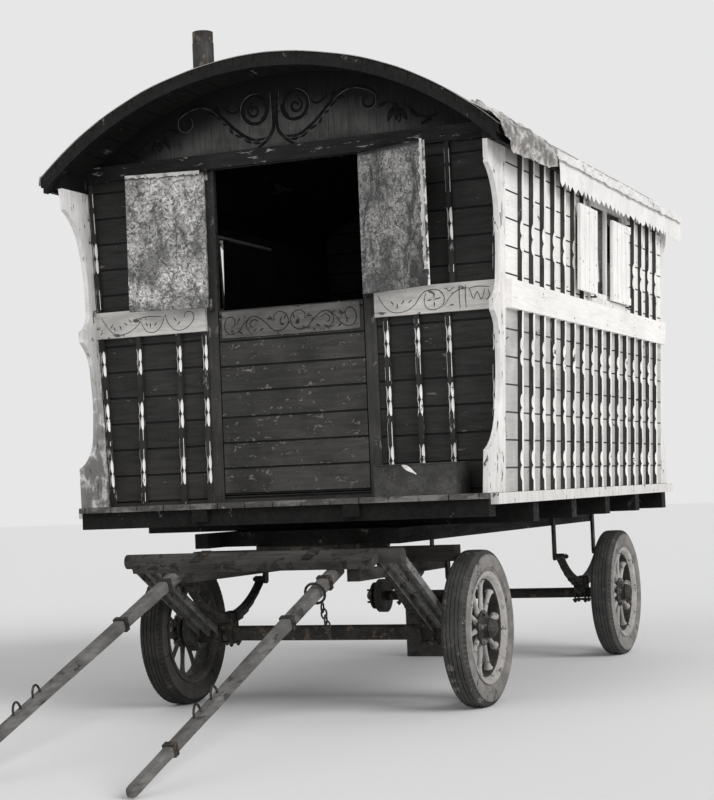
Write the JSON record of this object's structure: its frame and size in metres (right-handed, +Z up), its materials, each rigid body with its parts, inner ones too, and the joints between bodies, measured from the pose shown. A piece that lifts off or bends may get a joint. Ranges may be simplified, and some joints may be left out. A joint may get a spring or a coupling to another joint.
{
  "type": "barrel-roof living wagon",
  "caption": "Horse-drawn barrel-roof living wagon with leaning ribbed walls, porch brackets, half door, shuttered windows, steering forecarriage and lying shafts.",
  "frame": {"origin": "on the ground, under the middle of the bounding box", "axes": "+X to the wagon's own left, +Y to its rear, +Z up"},
  "size_m": [2.392, 5.595, 3.5198],
  "materials": {
    "tyre_rubber": "dusty",
    "wheel_paint": "worn",
    "old_iron": "rusty",
    "pipe_iron": "sooty",
    "worn_tin": "scratched",
    "glass": "clear",
    "valance_cloth": "matt",
    "roof_boards": "painted canvas",
    "green_boards": "old paint",
    "dark_trim": "old paint",
    "cream_paint": "flaking paint",
    "papered_leaf": "mottled paper",
    "weathered_timber": "weathered"
  },
  "bodies": {
    "wagon": {"floor_deck": "weathered_timber", "side_sills": "cream_paint", "underframe_rails": "weathered_timber", "cross_bearers": "weathered_timber", "turntable_bed": "weathered_timber", "side_wall_left": "cream_paint", "side_wall_right": "cream_paint", "side_waist_rails": "cream_paint", "side_ribs": "cream_paint", "front_wall": "green_boards", "gable_front": "dark_trim", "header_front": "dark_trim", "door_posts": "green_boards", "end_waist_rails": "cream_paint", "end_ribs": "cream_paint", "rear_wall": "green_boards", "porch_brackets": "cream_paint", "roof": "roof_boards", "roof_bows": "dark_trim", "cornices": "dark_trim", "valances": "valance_cloth", "chimney": "pipe_iron", "porch_box": "worn_tin", "window_frames": "cream_paint", "window_sashes": "cream_paint", "window_panes": "glass", "rear_springs": "old_iron", "rear_hangers": "old_iron", "rear_axle": "old_iron", "prop_block": "weathered_timber", "turntable_upper": "old_iron", "hinge_pins": "old_iron", "shutter_pins": "old_iron"},
    "forecarriage": {"turntable_lower": "old_iron", "bolster": "weathered_timber", "forecarriage_beams": "weathered_timber", "shaft_roller": "weathered_timber", "front_springs": "old_iron", "front_hangers": "old_iron", "front_axle": "old_iron", "radius_channels": "old_iron"},
    "shaft_frame": {"crossbar": "weathered_timber", "shafts": "weathered_timber", "shaft_irons": "old_iron"},
    "front_left_wheel": {"wheel_front_left": "wheel_paint", "tyre_front_left": "tyre_rubber"},
    "front_right_wheel": {"wheel_front_right": "wheel_paint", "tyre_front_right": "tyre_rubber"},
    "rear_left_wheel": {"wheel_rear_left": "wheel_paint", "tyre_rear_left": "tyre_rubber"},
    "rear_right_hub": {"bare_hub": "old_iron"},
    "lower_door": {"half_door": "green_boards"},
    "left_leaf": {"upper_leaf_left": "papered_leaf"},
    "right_leaf": {"upper_leaf_right": "papered_leaf"},
    "left_front_shutter": {"shutter_left_front": "cream_paint"},
    "left_rear_shutter": {"shutter_left_rear": "cream_paint"},
    "right_front_shutter": {"shutter_right_front": "cream_paint"},
    "right_rear_shutter": {"shutter_right_rear": "cream_paint"}
  },
  "joints": [
    {"name": "steering", "type": "hinge", "parent": "wagon", "child": "forecarriage", "pos_m": [0, -0.14852, 0.7], "axis": [0, 0, 1], "range_deg": [-45, 45]},
    {"name": "shafts_lift", "type": "hinge", "parent": "forecarriage", "child": "shaft_frame", "pos_m": [0, -0.84852, 0.75], "axis": [-1, 0, 0], "range_deg": [0, 35]},
    {"name": "front_left_wheel_spin", "type": "hinge", "parent": "forecarriage", "child": "front_left_wheel", "pos_m": [0.79, -0.14852, 0.37], "axis": [1, 0, 0], "continuous": true},
    {"name": "front_right_wheel_spin", "type": "hinge", "parent": "forecarriage", "child": "front_right_wheel", "pos_m": [-0.79, -0.14852, 0.37], "axis": [1, 0, 0], "continuous": true},
    {"name": "rear_left_wheel_spin", "type": "hinge", "parent": "wagon", "child": "rear_left_wheel", "pos_m": [0.79, 2.37148, 0.37], "axis": [1, 0, 0], "continuous": true},
    {"name": "rear_right_hub_spin", "type": "hinge", "parent": "wagon", "child": "rear_right_hub", "pos_m": [-0.79, 2.37148, 0.37], "axis": [1, 0, 0], "continuous": true},
    {"name": "half_door_swing", "type": "hinge", "parent": "wagon", "child": "lower_door", "pos_m": [-0.388, -0.39452, 1.5], "axis": [0, 0, 1], "range_deg": [0, 100]},
    {"name": "left_leaf_swing", "type": "hinge", "parent": "wagon", "child": "left_leaf", "pos_m": [0.41, -0.46452, 2.3], "axis": [0, 0, 1], "range_deg": [-160, 15]},
    {"name": "right_leaf_swing", "type": "hinge", "parent": "wagon", "child": "right_leaf", "pos_m": [-0.41, -0.46452, 2.3], "axis": [0, 0, -1], "range_deg": [-168, 10]},
    {"name": "left_front_shutter_swing", "type": "hinge", "parent": "wagon", "child": "left_front_shutter", "pos_m": [1.13837, 0.96948, 2.25718], "axis": [-0.0455, 0, -0.999], "range_deg": [-179, 0]},
    {"name": "left_rear_shutter_swing", "type": "hinge", "parent": "wagon", "child": "left_rear_shutter", "pos_m": [1.13837, 1.69348, 2.25718], "axis": [0.0455, 0, 0.999], "range_deg": [0, 179]},
    {"name": "right_front_shutter_swing", "type": "hinge", "parent": "wagon", "child": "right_front_shutter", "pos_m": [-1.13837, 0.96948, 2.25718], "axis": [-0.0455, 0, 0.999], "range_deg": [-179, 0]},
    {"name": "right_rear_shutter_swing", "type": "hinge", "parent": "wagon", "child": "right_rear_shutter", "pos_m": [-1.13837, 1.69348, 2.25718], "axis": [0.0455, 0, -0.999], "range_deg": [0, 179]}
  ]
}
